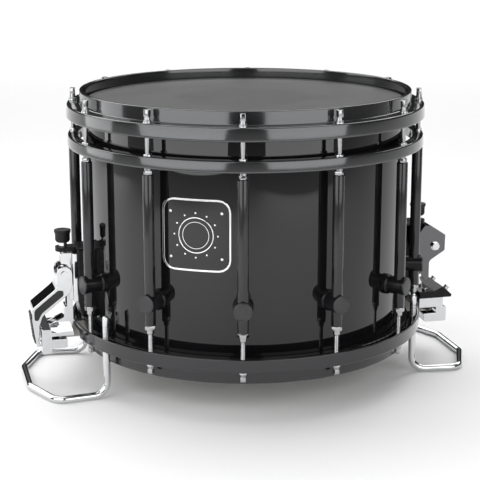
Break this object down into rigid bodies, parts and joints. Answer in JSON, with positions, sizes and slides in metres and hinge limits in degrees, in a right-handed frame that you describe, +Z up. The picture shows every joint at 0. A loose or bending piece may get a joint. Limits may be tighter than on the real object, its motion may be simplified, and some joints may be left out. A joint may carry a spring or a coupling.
{
  "type": "snare drum",
  "caption": "High-tension marching snare drum with tube lugs, a second tension ring, a throw-off and a butt strainer, gut snares and wire snare guards.",
  "frame": {"origin": "floor level on the drum's axis, where the snare guards stand", "axes": "+Z up along the drum's axis, X along the snares with the throw-off at -X and the butt strainer at +X, -Y towards the side with the badge"},
  "size_m": [0.516, 0.4, 0.3235],
  "materials": {
    "shell_lacquer": "high gloss black lacquer over maple ply",
    "gunmetal": "dark grey gloss coat",
    "chrome": "polished chrome plate",
    "black_cast": "satin black coat on zinc casting",
    "cap_steel": "dark brushed face",
    "badge_metal": "black panel with a bright border",
    "batter_film": "woven and laminated head, satin dark grey",
    "clear_film": "thin hazy film",
    "gut": "translucent gut",
    "bar_plastic": "moulded black",
    "knob_black": "knurled black"
  },
  "bodies": {
    "drum": {"shell": "shell_lacquer", "badge_plate": "badge_metal", "badge_rivets": "chrome", "air_vent": "chrome", "batter_head": "batter_film", "snare_side_head": "clear_film", "batter_flesh_hoop": "gunmetal", "snare_side_flesh_hoop": "gunmetal", "batter_hoop": "gunmetal", "snare_side_hoop": "gunmetal", "batter_rods": "chrome", "snare_side_rods": "chrome", "batter_rod_washers": "chrome", "snare_side_rod_washers": "chrome", "tension_ring": "gunmetal", "ring_ferrules": "chrome", "ring_nuts": "chrome", "tube_lugs": "gunmetal", "lug_posts": "black_cast", "post_caps": "cap_steel", "post_screws": "chrome", "lug_end_nuts": "chrome", "snare_guard_butt": "chrome", "snare_guard_throw": "chrome", "guard_sleeves": "chrome", "throw_base": "black_cast", "throw_face_plate": "chrome", "throw_base_screws": "chrome", "butt_base": "black_cast", "butt_face_plate": "chrome", "butt_base_screws": "chrome"},
    "throw_knob_body": {"throw_knob": "knob_black", "throw_spindle": "chrome"},
    "throw_slide_body": {"throw_slide": "chrome", "throw_pivot_pin": "chrome"},
    "throw_lever_body": {"throw_lever": "chrome", "throw_cam_pins": "chrome"},
    "throw_carriage_body": {"throw_carriage": "chrome", "throw_clamp_plate": "chrome", "throw_clamp_screws": "chrome"},
    "snares_body": {"snare_strands": "gut", "strand_bars": "bar_plastic"},
    "butt_slide_body": {"butt_slide": "chrome", "butt_bracket": "chrome", "butt_bracket_bolt": "chrome", "butt_carriage": "black_cast", "butt_clamp_plate": "chrome", "butt_clamp_screws": "chrome"},
    "butt_knob_body": {"butt_knob": "knob_black", "butt_spindle": "chrome"}
  },
  "joints": [
    {"name": "throw_height_knob", "type": "hinge", "parent": "drum", "child": "throw_knob_body", "pos_m": [-0.2095, 0, 0.16], "axis": [0, 0, 1], "range_deg": [0, 720]},
    {"name": "throw_height_slide", "type": "slide", "parent": "drum", "child": "throw_slide_body", "axis": [0, 0, -1], "range_m": [0, 0.0015]},
    {"name": "throw_lever", "type": "hinge", "parent": "throw_slide_body", "child": "throw_lever_body", "pos_m": [-0.2105, 0, 0.124], "axis": [0, 1, 0], "range_deg": [0, 80]},
    {"name": "snare_drop", "type": "slide", "parent": "throw_slide_body", "child": "throw_carriage_body", "axis": [0, 0, -1], "range_m": [0, 0.008]},
    {"name": "snare_swing", "type": "hinge", "parent": "throw_carriage_body", "child": "snares_body", "pos_m": [-0.215, 0, 0.0561], "axis": [0, -1, 0], "range_deg": [0, 1.07]},
    {"name": "butt_height_knob", "type": "hinge", "parent": "drum", "child": "butt_knob_body", "pos_m": [0.2095, 0, 0.167], "axis": [0, 0, 1], "range_deg": [0, 720]},
    {"name": "butt_height_slide", "type": "slide", "parent": "drum", "child": "butt_slide_body", "axis": [0, 0, -1], "range_m": [0, 0.0015]}
  ],
  "couplings": [
    {"joint": "throw_height_slide", "follows": "throw_height_knob", "m_per_rad": 0.00011937},
    {"joint": "snare_drop", "follows": "throw_lever", "m_per_rad": 0.005729},
    {"joint": "snare_swing", "follows": "throw_lever", "ratio": 0.013325},
    {"joint": "butt_height_slide", "follows": "butt_height_knob", "m_per_rad": 0.00011937}
  ]
}
